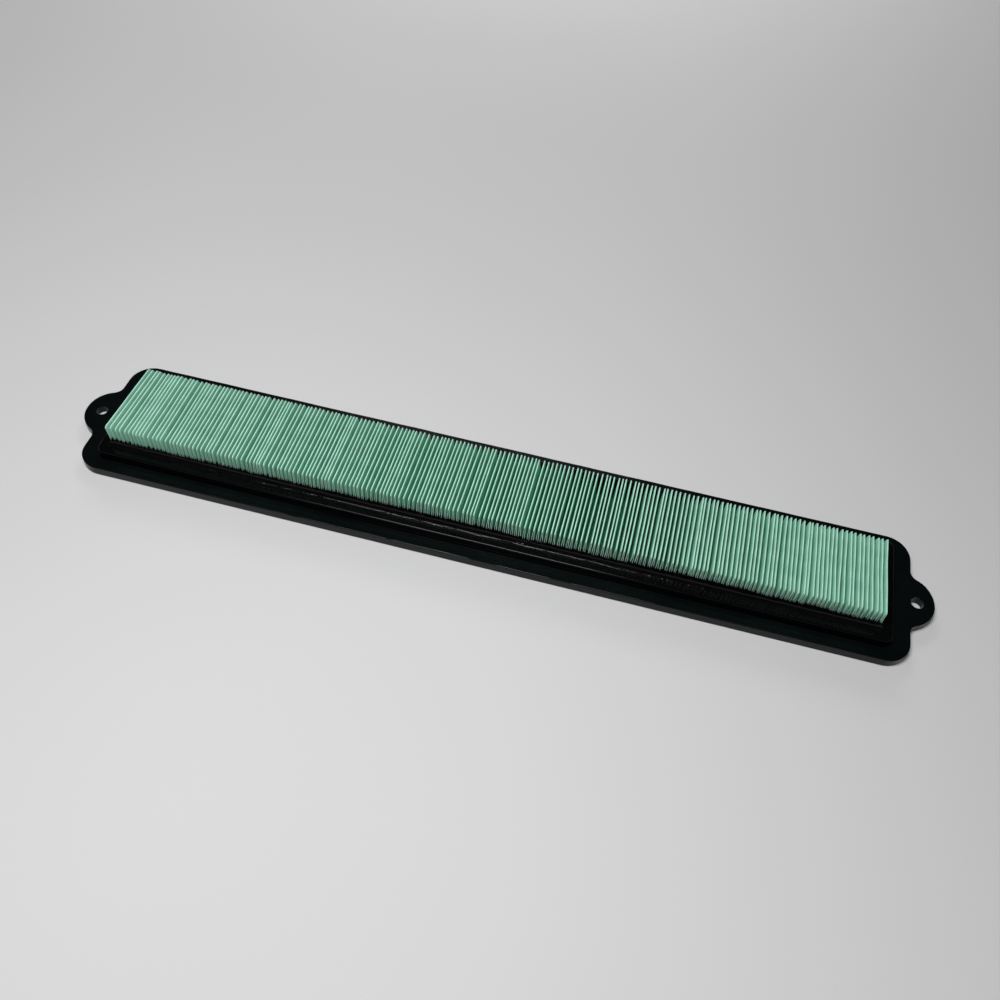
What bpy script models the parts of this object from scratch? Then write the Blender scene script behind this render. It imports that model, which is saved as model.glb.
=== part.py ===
"""Panel air filter element: a pleated paper pack bonded into a rimmed frame, in a flat gasket flange with two ears.

Metres, +Z up. The origin is the centre of the flange's underside, +X runs along the length and +Y across it.
The pleats stand up from the frame on the dirty-air side, and their lower folds show in the windows underneath.
"""

import math

import bmesh
import bpy
from mathutils import Vector

MM = 0.001
FIT_GAP = 0.3 * MM  # left wherever two pieces touch

# Flange: a rounded plate with a round ear at each end.
FLANGE_LENGTH = 430.0 * MM
FLANGE_WIDTH = 75.5 * MM
FLANGE_THICKNESS = 5.2 * MM
FLANGE_CORNER_RADIUS = 12.5 * MM
FLANGE_EDGE_BEVEL = 0.5 * MM
EAR_RADIUS = 15.2 * MM
EAR_INSET = 3.3 * MM  # of the ear's centre from the flange's end
EAR_NECK_RADIUS = 5.5 * MM  # the hollow round between the ear and the flange's end
SCREW_HOLE_RADIUS = 3.25 * MM
SCREW_HOLE_SPACING = 436.8 * MM

# Frame: a raised rim around the pack, with a ledge and cross ribs below it and a lip that the flange grips.
FRAME_LENGTH = 410.0 * MM
FRAME_WIDTH = 61.0 * MM
FRAME_HEIGHT = 10.1 * MM
FRAME_CORNER_RADIUS = 4.0 * MM
FRAME_EDGE_BEVEL = 0.4 * MM
RIM_WIDTH = 5.0 * MM
RIM_INNER_RADIUS = 0.5 * MM
LEDGE_WIDTH = 3.5 * MM
LEDGE_THICKNESS = 1.6 * MM
LEDGE_RADIUS = 1.5 * MM
LEDGE_STEP = 0.5 * MM  # the windows below are this much smaller all round than the ledge
LIP_REACH = 3.0 * MM
LIP_BOTTOM = 1.9 * MM
LIP_TOP = 3.5 * MM
RIB_COUNT = 3
RIB_WIDTH = 2.4 * MM
RIB_THICKNESS = 1.2 * MM

# Spacer beads: thin threads of hot melt that hold the lower folds apart.
BEAD_PLACES = {"near": -11.2 * MM, "middle": 0.0, "far": 11.2 * MM}
BEAD_WIDTH = 1.6 * MM
BEAD_HEIGHT = 0.8 * MM
BEAD_SIDES = 8

# Media: one sheet of filter paper, folded to and fro.
MEDIA_LENGTH = 395.6 * MM
MEDIA_WIDTH = 46.8 * MM
MEDIA_BOTTOM = RIB_THICKNESS + BEAD_HEIGHT + 2 * FIT_GAP
MEDIA_TOP = 22.8 * MM
PLEAT_COUNT = 184
PAPER_THICKNESS = 0.5 * MM

# Adhesive that seals the four sides of the pack to the rim.
SEAL_TOP = 15.4 * MM  # how far it has climbed up the pack
SEAL_SHOULDER = 9.6 * MM  # where it leaves the rim's inner wall
SEAL_CREST = 0.3 * MM  # its thickness at the top

CORNER_SEGMENTS = 5
EAR_SEGMENTS = 8
HOLE_SEGMENTS = 24
CUT_MARGIN = 1.0 * MM  # how far a cutter passes beyond what it cuts

LOOKS = {
    "flange_rubber": ((0.012, 0.013, 0.014), 0.55),
    "frame_plastic": ((0.010, 0.010, 0.011), 0.30),
    "adhesive": ((0.008, 0.008, 0.009), 0.18),
    "hot_melt": ((0.55, 0.55, 0.48), 0.35),
    "filter_paper": ((0.22, 0.50, 0.36), 0.90),
}


def clear_scene():
    for obj in list(bpy.data.objects):
        bpy.data.objects.remove(obj, do_unlink=True)


def material(look):
    """The material of that name, made the first time it is asked for."""
    if look in bpy.data.materials:
        return bpy.data.materials[look]
    colour, roughness = LOOKS[look]
    made = bpy.data.materials.new(look)
    made.use_nodes = True
    shader = made.node_tree.nodes["Principled BSDF"]
    shader.inputs["Base Color"].default_value = (*colour, 1.0)
    shader.inputs["Roughness"].default_value = roughness
    shader.inputs["Metallic"].default_value = 0.0
    made.diffuse_color = (*colour, 1.0)
    return made


def arc(centre, radius, start, end, segments):
    """Points along an arc, both ends included. The angles are in degrees."""
    angles = [math.radians(start + (end - start) * i / segments) for i in range(segments + 1)]
    return [(centre[0] + radius * math.cos(a), centre[1] + radius * math.sin(a)) for a in angles]


def rounded_rectangle(half_x, half_y, radius):
    """An anticlockwise outline that has the same number of points whatever its size."""
    x, y = half_x - radius, half_y - radius
    corners = [((x, y), 0), ((-x, y), 90), ((-x, -y), 180), ((x, -y), 270)]
    return [
        point
        for centre, start in corners
        for point in arc(centre, radius, start, start + 90, CORNER_SEGMENTS)
    ]


def flange_outline():
    """The flange with its two ears, anticlockwise, from the tip of the right ear."""
    half_x, half_y = FLANGE_LENGTH / 2, FLANGE_WIDTH / 2
    ear = (half_x - EAR_INSET, 0.0)
    across = EAR_INSET + EAR_NECK_RADIUS
    neck = (ear[0] + across, math.sqrt((EAR_RADIUS + EAR_NECK_RADIUS) ** 2 - across**2))
    meeting = math.degrees(math.atan2(neck[1], across))
    corner = (half_x - FLANGE_CORNER_RADIUS, half_y - FLANGE_CORNER_RADIUS)
    quarter = arc(ear, EAR_RADIUS, 0, meeting, EAR_SEGMENTS)
    quarter += arc(neck, EAR_NECK_RADIUS, meeting + 180, 180, CORNER_SEGMENTS)[1:]
    quarter += arc(corner, FLANGE_CORNER_RADIUS, 0, 90, CORNER_SEGMENTS)
    upper = quarter + [(-x, y) for x, y in reversed(quarter)]
    return upper + [(x, -y) for x, y in reversed(upper[1:-1])]


def pleat_outline():
    """The folded sheet in x and z: over the tops from left to right, and back underneath."""
    pitch = MEDIA_LENGTH / PLEAT_COUNT
    end, foot = MEDIA_LENGTH / 2, MEDIA_LENGTH / 2 - PAPER_THICKNESS
    above, below = [], [(-end, MEDIA_BOTTOM), (-foot, MEDIA_BOTTOM)]
    for pleat in range(PLEAT_COUNT):
        tip = (pleat + 0.5) * pitch - end
        valley = tip + pitch / 2
        above += [(tip - PAPER_THICKNESS, MEDIA_TOP), (tip + PAPER_THICKNESS, MEDIA_TOP)]
        above.append((valley, MEDIA_BOTTOM + PAPER_THICKNESS))
        below.append((tip, MEDIA_TOP - PAPER_THICKNESS))
        below += [(valley - PAPER_THICKNESS, MEDIA_BOTTOM), (valley + PAPER_THICKNESS, MEDIA_BOTTOM)]
    above[-1:] = []  # the last wall ends in a foot, not in a valley
    below[-2:] = [(foot, MEDIA_BOTTOM), (end, MEDIA_BOTTOM)]
    return above + list(reversed(below))


def seal_outline(inner, outer):
    """A run of adhesive in section: its distance from the middle of the pack, and z."""
    bed = LEDGE_THICKNESS + FIT_GAP
    crest = inner + SEAL_CREST
    return [(inner, bed), (outer, bed), (outer, SEAL_SHOULDER), (crest, SEAL_TOP), (inner, SEAL_TOP)]


def add_prism(work, outline, place, low, high):
    """Extrudes an outline from low to high, where place(u, v, w) gives the position of a point."""
    base = work.faces.new([work.verts.new(place(u, v, low)) for u, v in outline])
    grown = bmesh.ops.extrude_face_region(work, geom=[base])["geom"]
    tops = [item for item in grown if isinstance(item, bmesh.types.BMVert)]
    travel = Vector(place(0, 0, high)) - Vector(place(0, 0, low))
    bmesh.ops.translate(work, verts=tops, vec=travel)


def add_stack(work, levels):
    """A closed solid through rounded rectangles, each given as half_x, half_y, radius and z."""
    rings = [
        [work.verts.new((x, y, z)) for x, y in rounded_rectangle(half_x, half_y, radius)]
        for half_x, half_y, radius, z in levels
    ]
    for lower, upper in zip(rings, rings[1:]):
        for i in range(len(lower)):
            j = (i + 1) % len(lower)
            work.faces.new([lower[i], lower[j], upper[j], upper[i]])
    work.faces.new(rings[0])
    work.faces.new(rings[-1])


def on_z(u, v, w):
    return (u, v, w)


def on_x(u, v, w):
    return (w, u, v)


def on_y(u, v, w):
    return (u, w, v)


def add_object(name, look, build):
    """A named object with the mesh that the function build makes, smooth but for its sharp edges."""
    mesh = bpy.data.meshes.new(name)
    work = bmesh.new()
    build(work)
    bmesh.ops.recalc_face_normals(work, faces=work.faces)
    work.to_mesh(mesh)
    work.free()
    mesh.shade_smooth()
    mesh.set_sharp_from_angle(angle=math.radians(40))
    if look:
        mesh.materials.append(material(look))
    obj = bpy.data.objects.new(name, mesh)
    bpy.context.collection.objects.link(obj)
    return obj


def cut(target, name, build):
    """Takes the shape that the function build makes out of the target."""
    cutter = add_object(name, None, build)
    cutter.hide_render = True
    cutter.display_type = "WIRE"
    modifier = target.modifiers.new(name, "BOOLEAN")
    modifier.operation = "DIFFERENCE"
    modifier.solver = "EXACT"
    modifier.object = cutter


def make_flange():
    flange = add_object(
        "flange_gasket",
        "flange_rubber",
        lambda work: add_prism(work, flange_outline(), on_z, 0, FLANGE_THICKNESS),
    )
    bevel = flange.modifiers.new("edge", "BEVEL")
    bevel.width = FLANGE_EDGE_BEVEL
    bevel.segments = 1
    bevel.limit_method = "ANGLE"
    bevel.angle_limit = math.radians(60)

    wall = (FRAME_LENGTH / 2 + FIT_GAP, FRAME_WIDTH / 2 + FIT_GAP, FRAME_CORNER_RADIUS + FIT_GAP)
    groove = tuple(size + LIP_REACH for size in wall)
    levels = [
        (*wall, -CUT_MARGIN),
        (*wall, LIP_BOTTOM - FIT_GAP),
        (*groove, LIP_BOTTOM - FIT_GAP),
        (*groove, LIP_TOP + FIT_GAP),
        (*wall, LIP_TOP + FIT_GAP),
        (*wall, FLANGE_THICKNESS + CUT_MARGIN),
    ]
    cut(flange, "frame_seat", lambda work: add_stack(work, levels))

    for side, x in (("left", -SCREW_HOLE_SPACING / 2), ("right", SCREW_HOLE_SPACING / 2)):
        hole = arc((x, 0), SCREW_HOLE_RADIUS, 0, 360, HOLE_SEGMENTS)[:-1]
        top = FLANGE_THICKNESS + CUT_MARGIN
        cut(flange, f"screw_hole_{side}", lambda work: add_prism(work, hole, on_z, -CUT_MARGIN, top))
    return flange


def make_frame():
    wall = (FRAME_LENGTH / 2, FRAME_WIDTH / 2, FRAME_CORNER_RADIUS)
    lip = tuple(size + LIP_REACH for size in wall)
    brow = tuple(size - FRAME_EDGE_BEVEL for size in wall)
    levels = [
        (*wall, 0),
        (*wall, LIP_BOTTOM),
        (*lip, LIP_BOTTOM),
        (*lip, LIP_TOP),
        (*wall, LIP_TOP),
        (*wall, FRAME_HEIGHT - FRAME_EDGE_BEVEL),
        (*brow, FRAME_HEIGHT),
    ]
    frame = add_object("pack_frame", "frame_plastic", lambda work: add_stack(work, levels))

    inside = (FRAME_LENGTH / 2 - RIM_WIDTH, FRAME_WIDTH / 2 - RIM_WIDTH)
    window = (inside[0] - LEDGE_WIDTH, inside[1] - LEDGE_WIDTH)
    mouth = FRAME_EDGE_BEVEL + CUT_MARGIN  # the chamfer's slope carried on above the rim
    pocket = [
        (*window, LEDGE_RADIUS, RIB_THICKNESS),
        (*window, LEDGE_RADIUS, LEDGE_THICKNESS),
        (*inside, RIM_INNER_RADIUS, LEDGE_THICKNESS),
        (*inside, RIM_INNER_RADIUS, FRAME_HEIGHT - FRAME_EDGE_BEVEL),
        (inside[0] + mouth, inside[1] + mouth, RIM_INNER_RADIUS + mouth, FRAME_HEIGHT + CUT_MARGIN),
    ]
    cut(frame, "pack_pocket", lambda work: add_stack(work, pocket))

    half_x, half_y = window[0] - LEDGE_STEP, window[1] - LEDGE_STEP
    bay = (2 * half_x + RIB_WIDTH) / (RIB_COUNT + 1)  # from one rib's middle to the next
    half_bay = (bay - RIB_WIDTH) / 2
    for i in range(RIB_COUNT + 1):
        middle = -half_x + half_bay + i * bay
        outline = [(middle + x, y) for x, y in rounded_rectangle(half_bay, half_y, LEDGE_RADIUS)]
        top = RIB_THICKNESS + CUT_MARGIN
        cut(frame, f"window_{i + 1}", lambda work: add_prism(work, outline, on_z, -CUT_MARGIN, top))
    return frame


def make_media():
    half = MEDIA_WIDTH / 2
    return add_object(
        "pleated_media",
        "filter_paper",
        lambda work: add_prism(work, pleat_outline(), on_y, -half, half),
    )


def make_seals():
    """Two runs along the pleats' ends, and two between them along the first and the last pleat."""
    inside = (FRAME_LENGTH / 2 - RIM_WIDTH - FIT_GAP, FRAME_WIDTH / 2 - RIM_WIDTH - FIT_GAP)
    pack = (MEDIA_LENGTH / 2 + FIT_GAP, MEDIA_WIDTH / 2 + FIT_GAP)
    seals = []
    for sign, side, end in ((-1, "near", "left"), (1, "far", "right")):
        along = [(sign * away, z) for away, z in seal_outline(pack[1], inside[1])]
        across = [(sign * away, z) for away, z in seal_outline(pack[0], inside[0])]
        reach, span = inside[0], MEDIA_WIDTH / 2
        seals.append(
            add_object(
                f"side_seal_{side}",
                "adhesive",
                lambda work: add_prism(work, along, on_x, -reach, reach),
            )
        )
        seals.append(
            add_object(
                f"end_seal_{end}",
                "adhesive",
                lambda work: add_prism(work, across, on_y, -span, span),
            )
        )
    return seals


def make_beads():
    """Each bead lies across the lower folds, from one end of the windows to the other."""
    reach = FRAME_LENGTH / 2 - RIM_WIDTH - LEDGE_WIDTH - FIT_GAP
    middle = RIB_THICKNESS + FIT_GAP + BEAD_HEIGHT / 2
    beads = []
    for place, y in BEAD_PLACES.items():
        section = [
            (y + u * BEAD_WIDTH / 2, middle + v * BEAD_HEIGHT / 2)
            for u, v in arc((0, 0), 1, 0, 360, BEAD_SIDES)[:-1]
        ]
        beads.append(
            add_object(
                f"spacer_bead_{place}",
                "hot_melt",
                lambda work: add_prism(work, section, on_x, -reach, reach),
            )
        )
    return beads


def main():
    clear_scene()
    element = bpy.data.objects.new("filter_element", None)
    bpy.context.collection.objects.link(element)
    for piece in [make_flange(), make_frame(), make_media(), *make_seals(), *make_beads()]:
        piece.parent = element


main()
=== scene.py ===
"""The finished look of the panel air filter element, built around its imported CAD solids.

Metres, +Z up, in the CAD's own frame: +X along the length, +Y away from the camera. The pleated paper,
the flange, the frame, the adhesive and the hot-melt threads are all rebuilt here in fine mesh, each
round its own CAD node.
"""

import math

import bmesh
import bpy
import numpy as np
from mathutils import Euler, Matrix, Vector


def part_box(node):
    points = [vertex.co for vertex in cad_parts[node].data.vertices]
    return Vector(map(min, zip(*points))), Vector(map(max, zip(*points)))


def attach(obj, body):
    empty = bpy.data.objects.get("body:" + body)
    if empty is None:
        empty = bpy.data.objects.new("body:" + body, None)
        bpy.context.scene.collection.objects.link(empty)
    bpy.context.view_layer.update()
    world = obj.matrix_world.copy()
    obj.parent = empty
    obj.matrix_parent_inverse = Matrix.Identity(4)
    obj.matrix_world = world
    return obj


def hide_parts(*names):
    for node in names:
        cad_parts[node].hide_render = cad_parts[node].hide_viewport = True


MM = 0.001
BODY = "root"
HAIR = 0.05 * MM  # left between two pieces that touch

# Camera, as the photograph was taken: from above and a little to the right.
CAMERA_PLACE = (0.06037, -0.31085, 0.41602)
CAMERA_AZIMUTH = 10.19  # degrees, turned from +Y towards -X
CAMERA_ELEVATION = 52.23  # degrees looked down
CAMERA_ROLL = 5.20  # degrees
CAMERA_LENS = 36.0  # in millimetres, as is the sensor's width
SENSOR_WIDTH = 36.0

# Studio. Every light is a square one that shines straight down.
LIGHTS = (  # name, place, side in metres, watts
    ("high", (-0.26, -0.28, 1.70), 0.70, 12.5),
    ("low", (-0.07, -0.20, 0.60), 0.25, 2.5),
    ("back", (-0.20, 1.00, 0.60), 0.50, 5.0),
)
WORLD_COLOUR = (0.96, 0.98, 1.0)
WORLD_STRENGTH = 0.035
FLOOR_HALF = 4.0
FLOOR_DROP = 0.1 * MM  # the floor lies this far below the part

# Flange
FLANGE_CORNER_RADIUS = 12.5 * MM
FLANGE_END = 215.0 * MM  # half the flange's length without its ears
EAR_RADIUS = 15.2 * MM
EAR_NECK_RADIUS = 5.5 * MM
SCREW_HOLE_RADIUS = 3.25 * MM
SCREW_HOLE_PLACE = 218.4 * MM
SCREW_HOLE_POINTS = 48
FLANGE_FILLET = 0.4 * MM
FLANGE_FLAT = 0.8 * MM  # from this far inside the outline its top is flat
LONGEST_SIDE = 1.6 * MM  # of the outline's steps
SEAT_CHAMFER = (0.35 * MM, 0.3 * MM)  # outwards and down, where the rim comes out of the flange
SEAT_FLAT = 0.6 * MM  # from this far outside the seat its top is flat
BURR = 0.16 * MM  # of flash at the screw holes

# Frame
FRAME_HALF = (205.0 * MM, 30.5 * MM)
FRAME_CORNER_RADIUS = 4.0 * MM
RIM_WIDTH = 5.0 * MM
LEDGE_WIDTH = 3.5 * MM
LEDGE_THICKNESS = 1.6 * MM
LEDGE_RADIUS = 1.5 * MM
LEDGE_STEP = 0.5 * MM  # the windows below are this much smaller all round than the ledge
LIP_REACH = 3.0 * MM
LIP_BOTTOM = 1.9 * MM
LIP_TOP = 3.5 * MM
RIM_INNER_RADIUS = 0.5 * MM
RIM_FILLET = 0.6 * MM
RIM_WANDER = 0.05 * MM
RIB_COUNT = 3
RIB_WIDTH = 2.4 * MM
RIB_THICKNESS = 1.2 * MM
WINDOW_FILLET = 0.25 * MM

# Pleated paper
PLEAT_COUNT = 184
PAPER = 0.24 * MM
FOLD_RADIUS = 0.22 * MM  # of the sheet's middle
CLOSEST_TIPS = 1.1 * MM  # between one upper fold and the next
GAP_SPREAD = 0.16  # of the pitch, between one upper fold and the next
GAP_LIMITS = (0.56, 1.6)
DRIFT_REACH = 6  # folds to each side over which the spread evens out
TIP_UNREST = 0.07 * MM  # how much the upper folds wander along their length
RIGHT_UNREST = 0.10 * MM  # more than that, over the last fifth
SLUMP = (0.10 * MM, 0.07 * MM)  # how unevenly high the folds stand, in waves and one by one
WALL_BULGE = 0.07 * MM
WALL_SWAY = 0.05 * MM
WALL_STEPS = (0.12, 0.42, 0.75)  # shares of a wall's height that have points of their own
FOLD_ANGLES = np.radians([180, 144, 108, 72, 36, 0])
NEAR_ROUNDING = (1.2 * MM, 0.8 * MM)  # length, and drop at the very end
FAR_ROUNDING = (2.0 * MM, 4.6 * MM)  # likewise
FAR_TRIM = 0.7 * MM  # the paper ends this far short of its CAD block on the far side
UNEVEN_ENDS = 0.22 * MM
LEFT_LEAN = (2.8 * MM, 0.4 * MM)  # how far the leftmost fold leans out at its near end and at its far end
RIGHT_LEAN = (0.8 * MM, 0.5 * MM)  # likewise for the rightmost fold, to the right
LEAN_REACH = 7.0  # folds over which either lean fades to a third
BAND_PITCH = 11.2 * MM  # of the faint lengthwise bands across the pleats
PAINTED_SHADE_HEIGHTS = (12.0 * MM, 22.2 * MM)  # painted shade: the paper grows lighter from the first to the second
CUT_EDGE = -23.36 * MM  # the near cut edges of the paper are nearer than this y

# Adhesive
CREST_FALL = 0.55 * MM  # over this distance from the pack the crest falls to a third
CORNER_REACH = 1.0 * MM  # the crest runs on this far past the pack's corners
SEEN_HEIGHT = 17.0 * MM  # about where the adhesive between the folds ends
OVERFLOW_PLACE = -28.0 * MM  # where most of it ran over the near rim
OVERFLOW_REACH = 13.0 * MM
OVERFLOW_REST = 0.15  # how much ran over elsewhere, as a share
SINK = 0.8 * MM  # of the adhesive below the CAD's crest, and as much again at the paper's cut edges
OPEN_RISE = 1.5 * MM  # between two pleats
INNER_RISE = (0.6 * MM, 4.0 * MM)  # inside a pleat: at the left end, and what the right end adds
GAP_MARGIN = (0.20 * MM, 0.04 * MM)  # kept from the paper, between two pleats and inside one
GAP_RAMP = 0.10 * MM
BESIDE_RIM = 0.25 * MM  # the adhesive's height over the rim where the two meet
ROOF = np.array([0.05, 0.12, 0.24, 0.42, 0.68, 1.0, 1.45]) * MM  # its points, outwards from the pack

# Hot-melt threads
THREAD_STEP = 0.5 * MM
THREAD_WANDER = 0.22 * MM

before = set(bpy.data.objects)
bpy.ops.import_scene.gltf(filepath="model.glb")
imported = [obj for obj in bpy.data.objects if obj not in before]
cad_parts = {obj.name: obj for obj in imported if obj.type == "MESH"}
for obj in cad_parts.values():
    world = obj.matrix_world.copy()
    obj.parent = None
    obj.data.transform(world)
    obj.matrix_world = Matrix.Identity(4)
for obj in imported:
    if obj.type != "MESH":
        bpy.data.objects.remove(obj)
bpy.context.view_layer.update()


# ---------------------------------------------------------------- mesh helpers


def noise_along(count, reach, seed):
    """Smooth random values about 0, of unit spread, that change over about reach steps."""
    rng = np.random.default_rng(seed)
    half = max(1, int(3 * reach))
    kernel = np.exp(-0.5 * (np.arange(-half, half + 1) / reach) ** 2)
    values = np.convolve(rng.standard_normal(count + 2 * half), kernel, "valid")
    return values / np.sqrt((kernel**2).sum())


def make_object(name, mesh, material, node):
    """Links a piece, rides it on the body and lets it stand for its CAD node."""
    mesh.materials.append(material)
    obj = bpy.data.objects.new(name, mesh)
    bpy.context.scene.collection.objects.link(obj)
    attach(obj, BODY)
    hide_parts(node)


def finish_mesh(name, work, sharp_degrees=35):
    """The mesh of that name, smooth but for its edges sharper than that."""
    bmesh.ops.recalc_face_normals(work, faces=work.faces)
    mesh = bpy.data.meshes.new(name)
    work.to_mesh(mesh)
    work.free()
    mesh.shade_smooth()
    mesh.set_sharp_from_angle(angle=math.radians(sharp_degrees))
    return mesh


def mesh_from(name, points, faces, sharp_degrees):
    mesh = bpy.data.meshes.new(name)
    mesh.from_pydata(points, [], faces)
    work = bmesh.new()
    work.from_mesh(mesh)
    bpy.data.meshes.remove(mesh)
    return finish_mesh(name, work, sharp_degrees)


def add_ring(work, points):
    return [work.verts.new(point) for point in points]


def bridge(work, first, second):
    """Quads between two rings of the same number of points."""
    for i in range(len(first)):
        j = (i + 1) % len(first)
        work.faces.new([first[i], first[j], second[j], second[i]])


def bridge_all(work, rings):
    for first, second in zip(rings, rings[1:]):
        bridge(work, first, second)


def bridge_opening(work, rings):
    """As bridge_all, for the wall of an opening."""
    for first, second in zip(rings, rings[1:]):
        bridge(work, second, first)


def fill_between(work, rings):
    """A flat face inside the first ring, open where the other rings are."""
    edges = []
    for ring in rings:
        for i in range(len(ring)):
            pair = (ring[i], ring[(i + 1) % len(ring)])
            edges.append(work.edges.get(pair) or work.edges.new(pair))
    bmesh.ops.triangle_fill(work, edges=edges, use_beauty=True)


def loft(name, sections, sharp_degrees=60):
    """A closed piece through the sections, an array of (section, point, xyz), each a closed outline."""
    count, width = sections.shape[:2]
    number = np.arange(count * width).reshape(count, width)
    following = np.roll(number, -1, axis=1)
    sides = np.stack([number[:-1], following[:-1], following[1:], number[1:]], axis=-1).reshape(-1, 4)
    faces = sides.tolist() + [number[0].tolist(), number[-1][::-1].tolist()]
    return mesh_from(name, sections.reshape(-1, 3).tolist(), faces, sharp_degrees)


def arc(centre, radius, start, end, segments):
    """Points along an arc, both ends included. The angles are in degrees."""
    angles = np.radians(np.linspace(start, end, segments + 1))
    return [(centre[0] + radius * math.cos(a), centre[1] + radius * math.sin(a)) for a in angles]


def divided(here, there, parts):
    """The points that divide the way from here to there, with the first of them and without the last."""
    (x, y), (to_x, to_y) = here, there
    return [(x + (to_x - x) * k / parts, y + (to_y - y) * k / parts) for k in range(parts)]


def with_steps(points, longest):
    """The closed outline with points added, so that no side is longer than that."""
    out = []
    for here, there in zip(points, points[1:] + points[:1]):
        out += divided(here, there, max(1, math.ceil(math.dist(here, there) / longest)))
    return out


def rounded_rectangle(half_x, half_y, radius, segments=10):
    """An anticlockwise outline that has the same number of points whatever its size."""
    x, y = half_x - radius, half_y - radius
    corners = [((x, y), 0), ((-x, y), 90), ((-x, -y), 180), ((x, -y), 270)]
    return [p for centre, start in corners for p in arc(centre, radius, start, start + 90, segments)]


def stepped_rectangle(half_x, half_y, radius, along=96, across=14, segments=8):
    """As rounded_rectangle, with each straight side divided into equal steps."""
    corners = rounded_rectangle(half_x, half_y, radius, segments)
    out = []
    per_corner = segments + 1
    for k, parts in enumerate((along, across, along, across)):
        out += corners[k * per_corner : (k + 1) * per_corner]
        here, there = corners[(k + 1) * per_corner - 1], corners[(k + 1) * per_corner % len(corners)]
        out += divided(here, there, parts)[1:]
    return out


def inset(points, distance):
    """The anticlockwise outline moved inwards, by one distance or by one for each point."""
    p = np.array(points)
    ahead = np.roll(p, -1, axis=0) - p
    behind = p - np.roll(p, 1, axis=0)
    way = ahead / np.linalg.norm(ahead, axis=1)[:, None] + behind / np.linalg.norm(behind, axis=1)[:, None]
    way /= np.linalg.norm(way, axis=1)[:, None]
    inward = np.stack([-way[:, 1], way[:, 0]], axis=1)
    return p + inward * np.broadcast_to(distance, len(p))[:, None]


def at_height(points, z):
    """The points in space. z is one number, or one for each point."""
    heights = np.broadcast_to(z, len(points))
    return [(float(x), float(y), float(h)) for (x, y), h in zip(points, heights)]


# ------------------------------------------------------------------- materials


class Nodes:
    """A material's node tree, with short calls for the nodes used here."""

    def __init__(self, name):
        self.material = bpy.data.materials.new(name)
        self.material.use_nodes = True
        self.tree = self.material.node_tree
        self.shader = self.tree.nodes["Principled BSDF"]
        self.place = self.tree.nodes.new("ShaderNodeTexCoord").outputs["Object"]

    def add(self, kind, **settings):
        node = self.tree.nodes.new(kind)
        for key, value in settings.items():
            setattr(node, key, value)
        return node

    def link(self, source, target):
        self.tree.links.new(source, target)

    def stretched(self, scale):
        node = self.add("ShaderNodeMapping")
        node.inputs["Scale"].default_value = scale
        self.link(self.place, node.inputs["Vector"])
        return node.outputs["Vector"]

    def noise(self, scale, detail=3.0, roughness=0.55, vector=None):
        node = self.add("ShaderNodeTexNoise")
        node.inputs["Scale"].default_value = scale
        node.inputs["Detail"].default_value = detail
        node.inputs["Roughness"].default_value = roughness
        self.link(vector or self.place, node.inputs["Vector"])
        return node.outputs["Fac"]

    def ranged(self, value, low, high, to_low, to_high):
        node = self.add("ShaderNodeMapRange")
        for socket, number in zip(node.inputs[1:5], (low, high, to_low, to_high)):
            socket.default_value = number
        self.link(value, node.inputs["Value"])
        return node.outputs["Result"]

    def math(self, operation, a, b):
        node = self.add("ShaderNodeMath", operation=operation)
        for socket, value in zip(node.inputs, (a, b)):
            if isinstance(value, (int, float)):
                socket.default_value = value
            else:
                self.link(value, socket)
        return node.outputs["Value"]

    def ramp(self, value, stops):
        node = self.add("ShaderNodeValToRGB")
        elements = node.color_ramp.elements
        elements[0].position, elements[1].position = stops[0][0], stops[-1][0]
        elements[0].color, elements[1].color = (*stops[0][1], 1), (*stops[-1][1], 1)
        for position, colour in stops[1:-1]:
            elements.new(position).color = (*colour, 1)
        self.link(value, node.inputs["Fac"])
        return node.outputs["Color"]

    def darkened(self, colour, share):
        """The colour multiplied by a grey value."""
        node = self.add("ShaderNodeMix", data_type="RGBA", blend_type="MULTIPLY")
        node.inputs["Factor"].default_value = 1.0
        self.link(colour, node.inputs["A"])
        self.link(share, node.inputs["B"])
        return node.outputs["Result"]

    def mixed(self, colour, other, share):
        """The colour, with a fixed one over it by a share from 0 to 1."""
        node = self.add("ShaderNodeMix", data_type="RGBA")
        self.link(share, node.inputs["Factor"])
        self.link(colour, node.inputs["A"])
        node.inputs["B"].default_value = (*other, 1.0)
        return node.outputs["Result"]

    def bump(self, *heights):
        """Each height is (value, depth in metres). They add up."""
        normal = None
        for value, depth in heights:
            node = self.add("ShaderNodeBump")
            node.inputs["Distance"].default_value = depth
            self.link(value, node.inputs["Height"])
            if normal:
                self.link(normal, node.inputs["Normal"])
            normal = node.outputs["Normal"]
        self.link(normal, self.shader.inputs["Normal"])

    def colour(self, output):
        self.link(output, self.shader.inputs["Base Color"])

    def rough(self, output):
        self.link(output, self.shader.inputs["Roughness"])

    def fixed(self, **values):
        """Constants, set on the shader's own sockets."""
        for key, value in values.items():
            self.shader.inputs[key.replace("_", " ")].default_value = value


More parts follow.
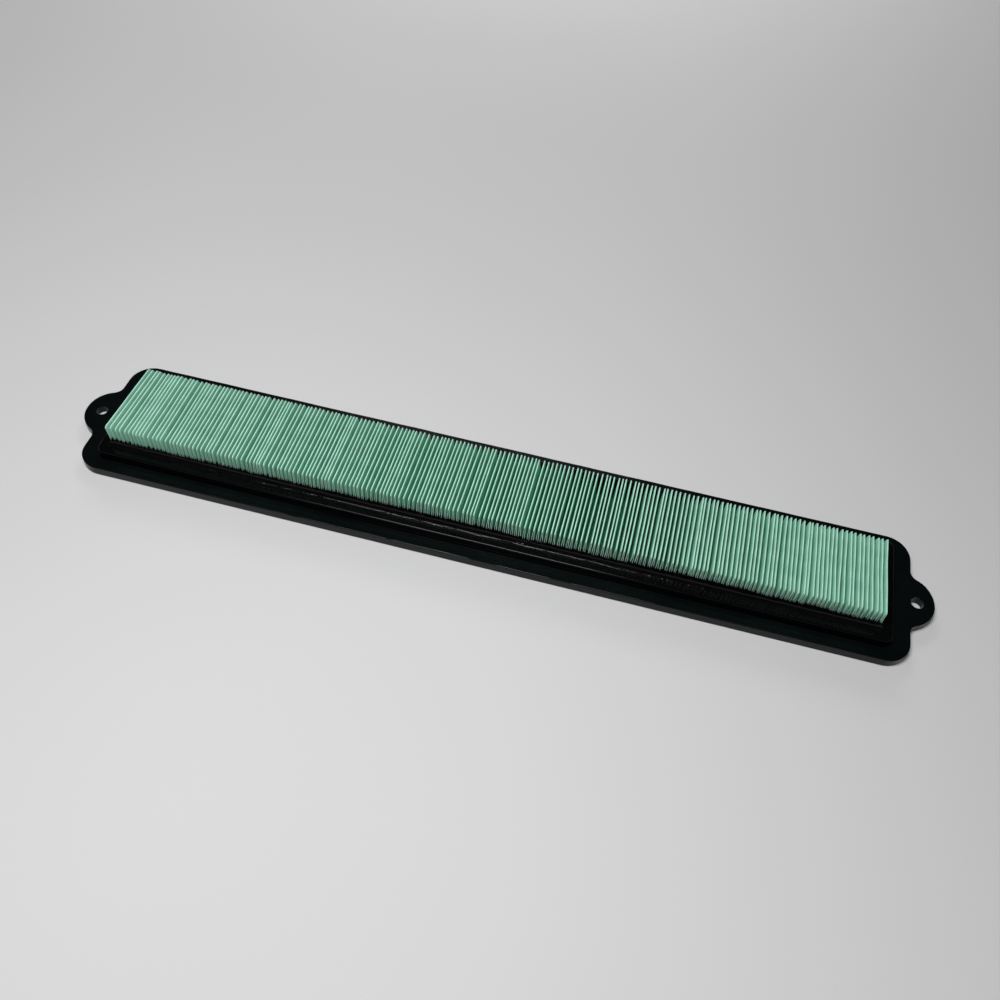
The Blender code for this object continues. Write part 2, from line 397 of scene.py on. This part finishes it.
def paper_material():
    """Pale green resin-treated paper: matt, finely fibrous, faintly mottled and banded lengthwise.

    Shade is painted into it: it is darker, and a deeper green, towards the foot of the folds, where the
    gaps between them lie in shade. Its near cut edges have one even colour, lighter than the rest, painted
    as if fully lit and free of that painted shade.
    """
    n = Nodes("filter_paper")
    fibres = n.noise(1.0, 5.0, 0.62, n.stretched((900.0, 2600.0, 900.0)))
    mottle = n.noise(150.0, 4.0, 0.6)
    cloud = n.noise(28.0, 2.0, 0.5)
    tone = n.math("ADD", n.math("MULTIPLY", fibres, 0.35), n.math("MULTIPLY", mottle, 0.45))
    tone = n.math("ADD", tone, n.math("MULTIPLY", cloud, 0.20))
    colour = n.ramp(
        tone,
        [
            (0.34, (0.370, 0.690, 0.550)),
            (0.50, (0.450, 0.775, 0.635)),
            (0.66, (0.510, 0.825, 0.700)),
        ],
    )
    parts = n.add("ShaderNodeSeparateXYZ")
    n.link(n.place, parts.inputs["Vector"])
    phase = n.math("MULTIPLY", parts.outputs["Y"], 2 * math.pi / BAND_PITCH)
    wave = n.math("COSINE", phase, 0.0)
    colour = n.darkened(colour, n.ranged(wave, -1.0, 1.0, 1.0, 0.94))
    # Painted shade: darker and a deeper green towards the foot of the folds, where the gaps between them
    # lie in shade.
    depth = n.ranged(parts.outputs["Z"], *PAINTED_SHADE_HEIGHTS, 0.0, 1.0)
    painted_fold_shade = [(0.0, (0.50, 0.84, 0.72)), (0.80, (0.66, 0.83, 0.76)), (1.0, (1.0, 1.0, 1.0))]
    colour = n.darkened(colour, n.ramp(depth, painted_fold_shade))
    # Painted light: the near cut edges take one lighter, even colour, as if fully lit, and skip the
    # painted shade.
    cut = n.math("LESS_THAN", parts.outputs["Y"], CUT_EDGE)
    n.colour(n.mixed(colour, (0.58, 0.86, 0.74), cut))
    n.rough(n.ranged(mottle, 0.3, 0.7, 0.84, 0.96))
    n.bump((fibres, 0.05 * MM), (mottle, 0.12 * MM))
    n.fixed(Specular_IOR_Level=0.10)
    return n.material


def rubber_material():
    """Satin black polyurethane skin, with a fine orange-peel grain and a cloudy sheen."""
    n = Nodes("flange_rubber")
    grain = n.noise(2400.0, 3.0, 0.6)
    skin = n.noise(240.0, 4.0, 0.55)
    cloud = n.noise(18.0, 3.0, 0.6)
    n.colour(n.ramp(cloud, [(0.30, (0.0008, 0.0018, 0.0021)), (0.72, (0.0016, 0.0034, 0.0038))]))
    n.rough(n.ranged(n.math("ADD", cloud, n.math("MULTIPLY", skin, 0.4)), 0.4, 1.0, 0.20, 0.30))
    n.bump((grain, 0.008 * MM), (skin, 0.02 * MM))
    n.fixed(Specular_IOR_Level=0.20)
    return n.material


def rim_material():
    """The frame's harder black moulding: smoother than the flange, with faint flow streaks along it."""
    n = Nodes("frame_plastic")
    streaks = n.noise(1.0, 3.0, 0.5, n.stretched((14.0, 420.0, 420.0)))
    skin = n.noise(500.0, 3.0, 0.5)
    n.colour(n.ramp(streaks, [(0.30, (0.0009, 0.0010, 0.0011)), (0.72, (0.0019, 0.0021, 0.0023))]))
    n.rough(n.ranged(streaks, 0.3, 0.7, 0.09, 0.17))
    n.bump((skin, 0.004 * MM), (streaks, 0.01 * MM))
    n.fixed(Specular_IOR_Level=0.16)
    return n.material


def adhesive_material():
    """Glossy black cast adhesive, with runs and pits where it set."""
    n = Nodes("adhesive")
    runs = n.noise(1.0, 4.0, 0.6, n.stretched((260.0, 420.0, 180.0)))
    pits = n.noise(1500.0, 2.0, 0.5)
    n.colour(n.ramp(runs, [(0.30, (0.0015, 0.0015, 0.0017)), (0.75, (0.0032, 0.0032, 0.0034))]))
    n.rough(n.ranged(runs, 0.3, 0.7, 0.06, 0.16))
    n.bump((pits, 0.006 * MM), (runs, 0.05 * MM))
    n.fixed(Specular_IOR_Level=0.20)
    return n.material


def hot_melt_material():
    """Cloudy cream hot melt."""
    n = Nodes("hot_melt")
    cloud = n.noise(420.0, 3.0, 0.55)
    n.colour(n.ramp(cloud, [(0.30, (0.46, 0.45, 0.36)), (0.70, (0.62, 0.61, 0.52))]))
    n.rough(n.ranged(cloud, 0.3, 0.7, 0.24, 0.42))
    n.bump((cloud, 0.05 * MM))
    n.fixed(Specular_IOR_Level=0.5, Subsurface_Weight=0.25, Subsurface_Scale=0.002)
    return n.material


# ---------------------------------------------------------------------- flange


def flange_outline():
    """The flange with its two ears, anticlockwise, in short steps."""
    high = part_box("flange_gasket")[1]
    ear = (high.x - EAR_RADIUS, 0.0)
    across = FLANGE_END + EAR_NECK_RADIUS - ear[0]
    neck = (ear[0] + across, math.sqrt((EAR_RADIUS + EAR_NECK_RADIUS) ** 2 - across**2))
    meeting = math.degrees(math.atan2(neck[1], across))
    corner = (FLANGE_END - FLANGE_CORNER_RADIUS, high.y - FLANGE_CORNER_RADIUS)
    quarter = arc(ear, EAR_RADIUS, 0, meeting, 22)
    quarter += arc(neck, EAR_NECK_RADIUS, meeting + 180, 180, 10)[1:]
    quarter += arc(corner, FLANGE_CORNER_RADIUS, 0, 90, 20)
    upper = quarter + [(-x, y) for x, y in reversed(quarter)]
    return with_steps(upper + [(x, -y) for x, y in reversed(upper[1:-1])], LONGEST_SIDE)


def make_flange():
    """One soft moulding, whose upper edges are a little ragged with flash, outside and at the holes."""
    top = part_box("flange_gasket")[1].z
    outline = flange_outline()
    ragged = noise_along(len(outline), 3.0, 11)
    torn = np.clip(noise_along(len(outline), 1.2, 12) - 1.0, 0, 1.5)
    work = bmesh.new()

    r = FLANGE_FILLET
    outer = [(1.2 * r, 0.0), (0.6 * r, 0.0), (0.12 * r, 0.3 * r), (0.0, 0.9 * r), (0.0, 1.2 * r)]
    outer += [(0.0, top - 1.5 * r), (0.0, top - 1.1 * r)]
    rings = [add_ring(work, at_height(inset(outline, d), z)) for d, z in outer]
    edge = (0.45 + 0.16 * ragged + 0.25 * torn) * r
    rings.append(add_ring(work, at_height(inset(outline, 0.25 * edge), top - 0.5 * r)))
    rings.append(add_ring(work, at_height(inset(outline, edge), top - 0.06 * r)))
    rings.append(add_ring(work, at_height(inset(outline, edge + 0.45 * r), top)))
    rings.append(add_ring(work, at_height(inset(outline, FLANGE_FLAT), top)))
    bridge_all(work, rings)

    wall = (FRAME_HALF[0] + HAIR, FRAME_HALF[1] + HAIR, FRAME_CORNER_RADIUS + HAIR)
    groove = tuple(size + LIP_REACH for size in wall)
    mouth = tuple(size + SEAT_CHAMFER[0] for size in wall)
    flat = tuple(size + SEAT_FLAT for size in wall)
    levels = [
        (*wall, 0.0),
        (*wall, LIP_BOTTOM - HAIR),
        (*groove, LIP_BOTTOM - HAIR),
        (*groove, LIP_TOP + HAIR),
        (*wall, LIP_TOP + HAIR),
        (*wall, top - SEAT_CHAMFER[1]),
        (*mouth, top),
        (*flat, top),
    ]
    seat = [add_ring(work, at_height(stepped_rectangle(*sizes), z)) for *sizes, z in levels]
    bridge_opening(work, seat)

    bottoms, tops = [rings[0], seat[0]], [rings[-1], seat[-1]]
    for side, x in enumerate((-SCREW_HOLE_PLACE, SCREW_HOLE_PLACE)):
        circle = arc((x, 0), SCREW_HOLE_RADIUS, 0, 360, SCREW_HOLE_POINTS)[:-1]
        burr = BURR * np.clip(noise_along(SCREW_HOLE_POINTS, 1.5, 20 + side), 0, 2)
        profile = [  # each ring's distance outside the hole's wall, and its height
            (0.5 * MM, 0.0),
            (0.3 * MM, 0.0),
            (0.0, 0.3 * MM),
            (0.0, 0.7 * MM),
            (0.0, top - 0.75 * MM),
            (0.0, top - 0.35 * MM),
            (0.12 * MM - burr, top - 0.08 * MM),
            (0.45 * MM, top),
            (0.7 * MM, top),
        ]
        hole = [add_ring(work, at_height(inset(circle, -outwards), z)) for outwards, z in profile]
        bridge_opening(work, hole)
        bottoms.append(hole[0])
        tops.append(hole[-1])
    fill_between(work, bottoms)
    fill_between(work, tops)
    mesh = finish_mesh("flange_moulding", work, 50)
    make_object("flange_moulding", mesh, rubber_material(), "flange_gasket")


# ----------------------------------------------------------------------- frame


def make_frame():
    """The raised rim, the ledge and the cross ribs below the pack, and the lip buried in the flange."""
    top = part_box("pack_frame")[1].z
    wall = (*FRAME_HALF, FRAME_CORNER_RADIUS)
    inner = (FRAME_HALF[0] - RIM_WIDTH, FRAME_HALF[1] - RIM_WIDTH, RIM_INNER_RADIUS)
    ledge = (inner[0] - LEDGE_WIDTH, inner[1] - LEDGE_WIDTH, LEDGE_RADIUS)

    def grown(sizes, by):
        return tuple(size + by for size in sizes)

    edge = RIM_FILLET
    angles = np.radians([0, 25, 50, 75, 90])
    turn = [(edge * (1 - math.cos(a)), edge * (1 - math.sin(a))) for a in angles]
    outside = [(*grown(wall, -inward), top - below) for inward, below in turn]
    inside = [(*grown(inner, inward), top - below) for inward, below in reversed(turn)]
    levels = [
        (*wall, 0.0),
        (*wall, LIP_BOTTOM),
        (*grown(wall, LIP_REACH), LIP_BOTTOM),
        (*grown(wall, LIP_REACH), LIP_TOP),
        (*wall, LIP_TOP),
        (*wall, top - 1.5 * edge),
        *outside,
        *inside,
        (*inner, LEDGE_THICKNESS + edge),
        (*inner, LEDGE_THICKNESS),
        (*ledge, LEDGE_THICKNESS),
        (*ledge, RIB_THICKNESS),
    ]
    work = bmesh.new()
    count = len(stepped_rectangle(*wall))
    wander = RIM_WANDER * noise_along(count, 5.0, 31)
    rings = []
    for *sizes, z in levels:
        outline = stepped_rectangle(*sizes)
        if z > 0.9 * top:  # the rim's own edges
            outline = inset(outline, wander)
        rings.append(add_ring(work, at_height(outline, z)))
    bridge_all(work, rings)

    half_x, half_y = ledge[0] - LEDGE_STEP, ledge[1] - LEDGE_STEP
    bay = (2 * half_x + RIB_WIDTH) / (RIB_COUNT + 1)
    half_bay = (bay - RIB_WIDTH) / 2
    soft = WINDOW_FILLET
    profile = [  # each ring's distance outside the window's wall, and its height
        (1.4 * soft, 0.0),
        (soft, 0.0),
        (0.0, soft),
        (0.0, RIB_THICKNESS - soft),
        (soft, RIB_THICKNESS),
        (1.4 * soft, RIB_THICKNESS),
    ]
    bottoms, tops = [rings[0]], [rings[-1]]
    for i in range(RIB_COUNT + 1):
        middle = -half_x + half_bay + i * bay
        around = [(middle + x, y) for x, y in rounded_rectangle(half_bay, half_y, LEDGE_RADIUS)]
        window = [add_ring(work, at_height(inset(around, -outwards), z)) for outwards, z in profile]
        bridge_opening(work, window)
        bottoms.append(window[0])
        tops.append(window[-1])
    fill_between(work, bottoms)
    fill_between(work, tops)
    mesh = finish_mesh("rim_frame", work, 45)
    make_object("rim_frame", mesh, rim_material(), "pack_frame")


# ----------------------------------------------------------------------- paper


def pleat_places():
    """The x of every upper fold and every lower fold. The upper ones stand in loose, uneven groups."""
    low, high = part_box("pleated_media")
    pitch = (high.x - low.x) / PLEAT_COUNT
    even = low.x + (np.arange(PLEAT_COUNT) + 0.5) * pitch
    gaps = pitch * (1 + GAP_SPREAD * noise_along(PLEAT_COUNT + 1, 0.35, 41))
    gaps = np.clip(gaps, GAP_LIMITS[0] * pitch, GAP_LIMITS[1] * pitch)
    loose = np.cumsum(gaps[:-1])
    drift = loose - even
    window = 2 * DRIFT_REACH + 1
    calm = np.convolve(np.pad(drift, DRIFT_REACH, "edge"), np.ones(window) / window, "valid")
    number = np.arange(PLEAT_COUNT)
    ends = np.clip(np.minimum(number, number[::-1]) / 2.0, 0, 1)
    upper = even + (drift - calm) * ends
    lower = even[:-1] + pitch / 2 + 0.06 * pitch * noise_along(PLEAT_COUNT - 1, 1.0, 42)
    return upper, lower


def paper_stations():
    """The y of the points along the folds, and where the rounded near and far ends begin."""
    low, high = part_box("pleated_media")
    end = high.y - FAR_TRIM
    near, far = low.y + NEAR_ROUNDING[0], end - FAR_ROUNDING[0]
    parts = [
        np.linspace(low.y, near, 3, endpoint=False),
        np.linspace(near, far, 7, endpoint=False),
        np.linspace(far, end, 4),
    ]
    return np.concatenate(parts), near, far


def upper_folds(upper, stations, near, far, rng):
    """The x and z of every upper fold's top at every station, as two arrays of (pleat, station)."""
    low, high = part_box("pleated_media")
    across = stations / high.y  # -1 at the near ends, 1 at the far ends
    right_share = (upper - low.x) / (high.x - low.x)
    from_left = np.arange(PLEAT_COUNT)
    from_right = from_left[::-1]

    # How each fold wanders along its length.
    unrest = TIP_UNREST + RIGHT_UNREST * np.clip((right_share - 0.80) / 0.2, 0, 1)
    lean = rng.normal(0, 1, PLEAT_COUNT)[:, None] * across[None, :]
    bow = rng.normal(0, 1, PLEAT_COUNT)[:, None] * (across[None, :] ** 2 - 0.4)
    wave_phase = rng.uniform(0, 2 * math.pi, PLEAT_COUNT)[:, None]
    wave = np.sin(across[None, :] * 5.0 + wave_phase)
    wander = unrest[:, None] * (0.9 * lean + 0.9 * bow + 0.5 * wave)

    # No two folds stand closer than paper can. What that adds goes back over the last tenth of the pack.
    tip_x = upper[:, None] + wander
    for i in range(1, PLEAT_COUNT):
        tip_x[i] = np.maximum(tip_x[i], tip_x[i - 1] + CLOSEST_TIPS)
    shift = np.clip(tip_x[-1] - (high.x - FOLD_RADIUS - PAPER / 2), 0, None)
    tip_x -= shift[None, :] * np.clip((right_share - 0.9) / 0.1, 0, 1)[:, None]

    # The folds near both ends of the pack lean out.
    for near_far, sign, places in ((LEFT_LEAN, -1, from_left), (RIGHT_LEAN, 1, from_right)):
        reach = np.interp(across, (-1, 1), near_far)
        tip_x += sign * reach[None, :] * np.exp(-places / LEAN_REACH)[:, None]

    # They aren't all as high, and their corners are rounded off.
    slump = SLUMP[0] * np.abs(noise_along(PLEAT_COUNT, 1.5, 44))
    slump += SLUMP[1] * np.abs(rng.normal(0, 1, PLEAT_COUNT))
    far_share = np.clip((stations - far) / FAR_ROUNDING[0], 0, 1)
    near_share = np.clip((near - stations) / NEAR_ROUNDING[0], 0, 1)
    far_drop = FAR_ROUNDING[1] * (1 + 0.12 * rng.normal(0, 1, PLEAT_COUNT)).clip(0.7, 1.2)
    near_drop = NEAR_ROUNDING[1] * (1 + 0.20 * rng.normal(0, 1, PLEAT_COUNT)).clip(0.5, 1.5)
    tip_z = high.z - PAPER / 2 - slump[:, None]
    tip_z = tip_z - far_drop[:, None] * far_share[None, :] ** 1.3
    tip_z = tip_z - near_drop[:, None] * near_share[None, :] ** 2
    return tip_x, tip_z


def folded_path(lower, tip_x, tip_z, across):
    """The middle of the sheet from its left end to its right end, as x and z of (point, station)."""
    low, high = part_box("pleated_media")
    foot_z = low.z + PAPER / 2
    r = FOLD_RADIUS
    rng = np.random.default_rng(45)

    def wall(x_from, z_from, x_to, z_to):
        """Points along one wall, bowed sideways by an amount that changes slowly along the fold."""
        amount = WALL_BULGE * rng.normal(0, 1, len(WALL_STEPS))
        sway = WALL_SWAY * np.sin(across * 6.0 + rng.uniform(0, 2 * math.pi))
        points = []
        for k, share in enumerate(WALL_STEPS):
            middle = math.sin(math.pi * share)
            x = x_from + (x_to - x_from) * share + (amount[k] + sway) * middle
            points.append((x, z_from + (z_to - z_from) * share))
        return points

    ones = np.ones_like(across)
    rows = [((low.x + PAPER / 2) * ones, foot_z * ones)]
    for i in range(PLEAT_COUNT):
        rows += wall(*rows[-1], tip_x[i] - r, tip_z[i] - r)
        rows += [(tip_x[i] + r * math.cos(a), tip_z[i] - r + r * math.sin(a)) for a in FOLD_ANGLES]
        last = i == PLEAT_COUNT - 1
        down_x = (high.x - PAPER / 2) * ones if last else (lower[i] - r) * ones
        down_z = foot_z * ones if last else (foot_z + r) * ones
        rows += wall(*rows[-1], down_x, down_z)
        if last:
            rows.append((down_x, down_z))
        else:
            rows += [(lower[i] + r * math.cos(a), foot_z + r - r * math.sin(a)) for a in FOLD_ANGLES]
    return np.array([row[0] * ones for row in rows]), np.array([row[1] * ones for row in rows])


def sheet_faces(count, width):
    """The faces of a closed sheet. Its points are a front of count by width, and then a like back."""
    number = np.arange(count * width).reshape(count, width)
    other = number + count * width
    a, b, c, d = number[:-1, :-1], number[1:, :-1], number[1:, 1:], number[:-1, 1:]
    front = np.stack([a, b, c, d], axis=-1).reshape(-1, 4)
    back = (front + count * width)[:, ::-1]
    edges = []
    for first, second, flip in (
        (number[:, 0], other[:, 0], True),
        (number[:, -1], other[:, -1], False),
        (number[0, :], other[0, :], False),
        (number[-1, :], other[-1, :], True),
    ):
        quads = np.stack([first[:-1], second[:-1], second[1:], first[1:]], axis=-1)
        edges.append(quads[:, ::-1] if flip else quads)
    return np.concatenate([front, back, *edges])


def make_media():
    """One sheet folded to and fro: round folds, walls that lean and bow a little, and cut edges.

    Returns the x of both walls of every gap between two pleats, for the near and for the far ends, about
    where the adhesive that has crept up between them ends.
    """
    low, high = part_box("pleated_media")
    upper, lower = pleat_places()
    stations, near, far = paper_stations()
    rng = np.random.default_rng(43)
    tip_x, tip_z = upper_folds(upper, stations, near, far, rng)
    x, z = folded_path(lower, tip_x, tip_z, stations / high.y)

    # Half the paper's thickness, square to the sheet.
    along_x, along_z = np.gradient(x, axis=0), np.gradient(z, axis=0)
    size = np.hypot(along_x, along_z)
    half_x, half_z = -along_z / size * (PAPER / 2), along_x / size * (PAPER / 2)

    # At the far side the pleats don't all end in line.
    uneven = UNEVEN_ENDS * rng.normal(0, 1, PLEAT_COUNT + 1).clip(-2, 2)
    uneven = np.repeat(uneven, math.ceil(len(x) / PLEAT_COUNT))[: len(x)]
    y = stations + uneven[:, None] * np.clip((stations - far) / FAR_ROUNDING[0] + 0.5, 0, 1)
    front = np.stack([x + half_x, y, z + half_z], axis=-1)
    back = np.stack([x - half_x, y, z - half_z], axis=-1)
    points = np.concatenate([front.reshape(-1, 3), back.reshape(-1, 3)])
    points[:, 2] = np.clip(points[:, 2], low.z, high.z)
    points[:, 0] = np.clip(points[:, 0], low.x - LEFT_LEAN[0], high.x + RIGHT_LEAN[0])

    mesh = mesh_from("folded_paper", points.tolist(), sheet_faces(*x.shape).tolist(), 60)
    make_object("folded_paper", mesh, paper_material(), "pleated_media")

    foot_z = low.z + PAPER / 2
    share = (SEEN_HEIGHT - foot_z) / (high.z - foot_z)
    walls = {}
    for side, column in (("near", 0), ("far", -1)):
        left = lower + (tip_x[1:, column] - lower) * share
        right = lower + (tip_x[:-1, column] - lower) * share
        walls[side] = (left, right)
    return walls


# -------------------------------------------------------------------- adhesive


def between_folds(places, walls, seed):
    """How far the adhesive stands above its own line: below it at the cut edges, above between walls."""
    left, right = walls
    rng = np.random.default_rng(seed)
    open_rise = OPEN_RISE * (1 + 0.30 * rng.normal(0, 1, len(left))).clip(0.2, 1.6)
    inner_rise = INNER_RISE[0] + INNER_RISE[1] * np.linspace(0, 1, len(left))
    inner_rise = inner_rise * (1 + 0.35 * rng.normal(0, 1, len(left))).clip(0.0, 1.8)
    lows, highs = np.minimum(left, right), np.maximum(left, right)
    between = (lows, highs, open_rise, GAP_MARGIN[0])
    within = (highs[:-1], lows[1:], inner_rise[:-1], GAP_MARGIN[1])
    rise = np.full(len(places), -SINK)
    for starts, stops, heights, margin in (between, within):
        for start, stop, height in zip(starts, stops, heights):
            inside = np.minimum(places - start, stop - places)
            part = np.clip((inside - margin) / GAP_RAMP, 0, 1)
            rise = np.maximum(rise, -SINK + (height + SINK) * part)
    return rise


def make_seal(node, along_axis, seed, material, walls=None):
    """One run of cast adhesive, which has crept unevenly up the pack and laps onto the rim.

    walls belongs to a run along the pleats' ends, where the adhesive has crept up between them too.
    """
    low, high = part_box(node)
    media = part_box("pleated_media")[1]
    rim_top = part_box("pack_frame")[1].z
    sideways = 1 - along_axis  # 0 is x and 1 is y
    sign = math.copysign(1, low[sideways] + high[sideways])
    face = media[sideways] - (FAR_TRIM if node == "side_seal_far" else 0)
    out = FRAME_HALF[sideways] - RIM_WIDTH - HAIR - face
    reach = high[along_axis] - HAIR
    step = (0.12 if along_axis == 0 else 0.5) * MM
    count = int(2 * reach / step)
    places = np.linspace(-reach, reach, count)

    creep = 0.50 * MM * noise_along(count, 78.0, seed)
    creep += 0.25 * MM * noise_along(count, 21.0, seed + 5) - SINK
    spikes = 0.25 * MM * noise_along(count, 2.0, seed + 1)
    if walls:
        spikes += between_folds(places, walls, seed + 6)
    lumps = 0.04 * MM * noise_along(count, 12.0, seed + 4)
    lumps += 0.02 * MM * noise_along(count, 2.2, seed + 7)
    lap = 0.30 * MM + 0.15 * MM * np.clip(noise_along(count, 20.0, seed + 2), -1, 2)
    overflow = OVERFLOW_REST
    if node == "side_seal_near":
        overflow = OVERFLOW_REST + np.exp(-(((places - OVERFLOW_PLACE) / OVERFLOW_REACH) ** 2))
    runs = np.clip(noise_along(count, 5.0, seed + 3) - 0.2, 0, 1.5)
    lap += 0.5 * MM * overflow * runs
    lumps += 0.22 * MM * overflow * runs

    # Past the pack's corner the distance from it grows, so the crest dies away there.
    past_corner = np.maximum(np.abs(places) - media[along_axis] - CORNER_REACH, 0)
    distance = np.hypot(ROOF[None, :], past_corner[:, None])
    rim_level = rim_top + BESIDE_RIM
    level = rim_level + (high.z - rim_level) * np.exp(-distance / CREST_FALL)
    level += creep[:, None] * np.exp(-distance / CREST_FALL)
    level += spikes[:, None] * np.exp(-distance / (0.3 * CREST_FALL))
    level += lumps[:, None] * np.minimum(1, ROOF / MM)[None, :]

    bed = LEDGE_THICKNESS + HAIR
    bulge = np.maximum(lumps, 0)
    edge = out + HAIR
    flat = np.ones(count)
    section = [(ROOF[0] * flat, bed * flat)]
    section += [(d * flat, level[:, k]) for k, d in enumerate(ROOF)]
    section += [  # a small crease at the rim, then the lap over it, and down the rim's inner wall
        ((out - 0.16 * MM) * flat, rim_top + 0.22 * MM + 0.4 * bulge),
        ((out - 0.10 * MM) * flat, rim_top + 0.12 * MM + 0.5 * bulge),
        ((out - 0.04 * MM) * flat, rim_top + 0.11 * MM + 0.5 * bulge),
        (edge + 0.80 * lap, rim_top + 0.09 * MM + 0.4 * bulge),
        (edge + lap, (rim_top + 0.03 * MM) * flat),
        (out * flat, (rim_top + 0.02 * MM) * flat),
        (out * flat, bed * flat),
    ]
    sections = np.zeros((count, len(section), 3))
    sections[:, :, along_axis] = places[:, None]
    sections[:, :, sideways] = sign * (face + np.stack([d for d, z in section], axis=1))
    sections[:, :, 2] = np.stack([z for d, z in section], axis=1)
    name = node.replace("seal", "adhesive")
    make_object(name, loft(name, sections), material, node)


# ------------------------------------------------------------- hot-melt threads


def make_thread(node, seed, material):
    """A thread of hot melt, fatter where it has sunk onto each lower fold."""
    low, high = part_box(node)
    middle = (low + high) / 2
    pitch = 2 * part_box("pleated_media")[1].x / PLEAT_COUNT
    count = int((high.x - low.x) / THREAD_STEP)
    places = np.linspace(low.x, high.x, count)
    wander = THREAD_WANDER * noise_along(count, 18.0, seed)
    fat = 0.80 + 0.13 * np.cos(places / pitch * 2 * math.pi)
    fat += 0.05 * noise_along(count, 2.5, seed + 1)
    fat = np.clip(fat, 0.5, 1.0)[:, None]
    turn = np.radians(np.arange(0, 360, 30))
    sections = np.zeros((count, len(turn), 3))
    sections[:, :, 0] = places[:, None]
    sections[:, :, 1] = middle.y + wander[:, None] + fat * np.cos(turn) * (high.y - low.y) / 2
    sections[:, :, 2] = middle.z + fat * np.sin(turn) * (high.z - low.z) / 2
    name = node.replace("spacer_bead", "hot_melt_thread")
    make_object(name, loft(name, sections), material, node)


# ---------------------------------------------------------------------- studio


def add_floor():
    """A plain pale floor. Only a low view sees its edge, far off."""
    work = bmesh.new()
    corners = [(-1, -1), (1, -1), (1, 1), (-1, 1)]
    work.faces.new(add_ring(work, [(x * FLOOR_HALF, y * FLOOR_HALF, 0) for x, y in corners]))
    mesh = finish_mesh("floor", work)
    floor = bpy.data.objects.new("floor", mesh)
    floor.location.z = -FLOOR_DROP
    bpy.context.scene.collection.objects.link(floor)
    n = Nodes("floor")
    cloud = n.noise(1.6, 3.0, 0.5)
    n.colour(n.ramp(cloud, [(0.3, (0.585, 0.590, 0.585)), (0.7, (0.615, 0.620, 0.615))]))
    n.fixed(Roughness=0.85, Specular_IOR_Level=0.2)
    mesh.materials.append(n.material)


def add_light(name, place, side, power):
    """A soft square light that shines straight down."""
    data = bpy.data.lights.new(name, "AREA")
    data.shape = "RECTANGLE"
    data.size, data.size_y = side, side
    data.energy = power
    light = bpy.data.objects.new(name, data)
    light.location = place
    bpy.context.scene.collection.objects.link(light)


def add_studio():
    world = bpy.data.worlds.new("studio")
    world.use_nodes = True
    background = world.node_tree.nodes["Background"]
    background.inputs["Color"].default_value = (*WORLD_COLOUR, 1.0)
    background.inputs["Strength"].default_value = WORLD_STRENGTH
    bpy.context.scene.world = world
    for light in LIGHTS:
        add_light(*light)
    bpy.context.scene.view_settings.view_transform = "Standard"


def add_camera():
    data = bpy.data.cameras.new("camera")
    data.lens, data.sensor_width = CAMERA_LENS, SENSOR_WIDTH
    data.clip_start = 0.01
    camera = bpy.data.objects.new("camera", data)
    look = Euler((math.radians(90 - CAMERA_ELEVATION), 0, math.radians(CAMERA_AZIMUTH))).to_matrix()
    roll = Matrix.Rotation(math.radians(CAMERA_ROLL), 3, "Z")
    camera.matrix_world = Matrix.Translation(CAMERA_PLACE) @ (look @ roll).to_4x4()
    bpy.context.scene.collection.objects.link(camera)
    bpy.context.scene.camera = camera


add_camera()
adhesive = adhesive_material()
hot_melt = hot_melt_material()
make_flange()
make_frame()
walls_at = make_media()
make_seal("side_seal_near", 0, 61, adhesive, walls_at["near"])
make_seal("side_seal_far", 0, 71, adhesive, walls_at["far"])
make_seal("end_seal_left", 1, 81, adhesive)
make_seal("end_seal_right", 1, 91, adhesive)
make_thread("spacer_bead_near", 101, hot_melt)
make_thread("spacer_bead_middle", 111, hot_melt)
make_thread("spacer_bead_far", 121, hot_melt)
add_floor()
add_studio()
